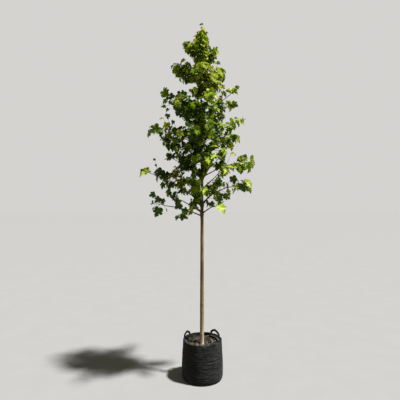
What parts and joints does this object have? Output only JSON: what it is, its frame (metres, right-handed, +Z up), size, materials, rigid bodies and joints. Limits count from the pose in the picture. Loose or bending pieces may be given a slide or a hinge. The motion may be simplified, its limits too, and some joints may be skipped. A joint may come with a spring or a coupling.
{
  "type": "sapling tree in planting bag",
  "caption": "Young broad-leaved tree with a slim clear trunk and a narrow leafy crown, standing on its root ball in a round black fabric bag with two loop handles.",
  "frame": {"origin": "centre of the bag's flat underside, at ground level", "axes": "+Z up along the trunk, +X to the right and +Y to the back as seen from the front; the two handles are on the back half"},
  "size_m": [1.297, 1.1574, 4.006],
  "materials": {
    "bark": "smooth olive-grey young bark",
    "twigs": "smooth brown-green young wood",
    "leaves": "glossy lobed leaves, fresh green",
    "bag_cloth": "black woven planting fabric, finely wrinkled",
    "strap": "black webbing",
    "soil": "moist potting soil with bark mulch"
  },
  "bodies": {
    "root": {"bag_base": "bag_cloth", "bag_wall": "bag_cloth", "bough_back_5": "twigs", "bough_front_6": "twigs", "bough_left_11": "twigs", "bough_left_12": "twigs", "bough_left_3": "twigs", "bough_left_5": "twigs", "bough_left_9": "twigs", "bough_right_1": "twigs", "bough_right_10": "twigs", "bough_right_12": "twigs", "bough_right_3": "twigs", "bough_right_4": "twigs", "bough_right_5": "twigs", "bough_right_7": "twigs", "bough_right_8": "twigs", "bough_right_9": "twigs", "foliage_back_1": "leaves", "foliage_back_2": "leaves", "foliage_back_3": "leaves", "foliage_back_4": "leaves", "foliage_back_5": "leaves", "foliage_back_6": "leaves", "foliage_front_1": "leaves", "foliage_front_2": "leaves", "foliage_front_3": "leaves", "foliage_front_4": "leaves", "foliage_front_5": "leaves", "foliage_front_6": "leaves", "foliage_leader": "leaves", "foliage_left_1": "leaves", "foliage_left_10": "leaves", "foliage_left_11": "leaves", "foliage_left_12": "leaves", "foliage_left_13": "leaves", "foliage_left_2": "leaves", "foliage_left_3": "leaves", "foliage_left_4": "leaves", "foliage_left_5": "leaves", "foliage_left_6": "leaves", "foliage_left_7": "leaves", "foliage_left_8": "leaves", "foliage_left_9": "leaves", "foliage_right_1": "leaves", "foliage_right_10": "leaves", "foliage_right_11": "leaves", "foliage_right_12": "leaves", "foliage_right_2": "leaves", "foliage_right_3": "leaves", "foliage_right_4": "leaves", "foliage_right_5": "leaves", "foliage_right_6": "leaves", "foliage_right_7": "leaves", "foliage_right_8": "leaves", "foliage_right_9": "leaves", "handle_left": "strap", "handle_right": "strap", "root_ball": "soil", "trunk": "bark"}
  },
  "joints": []
}
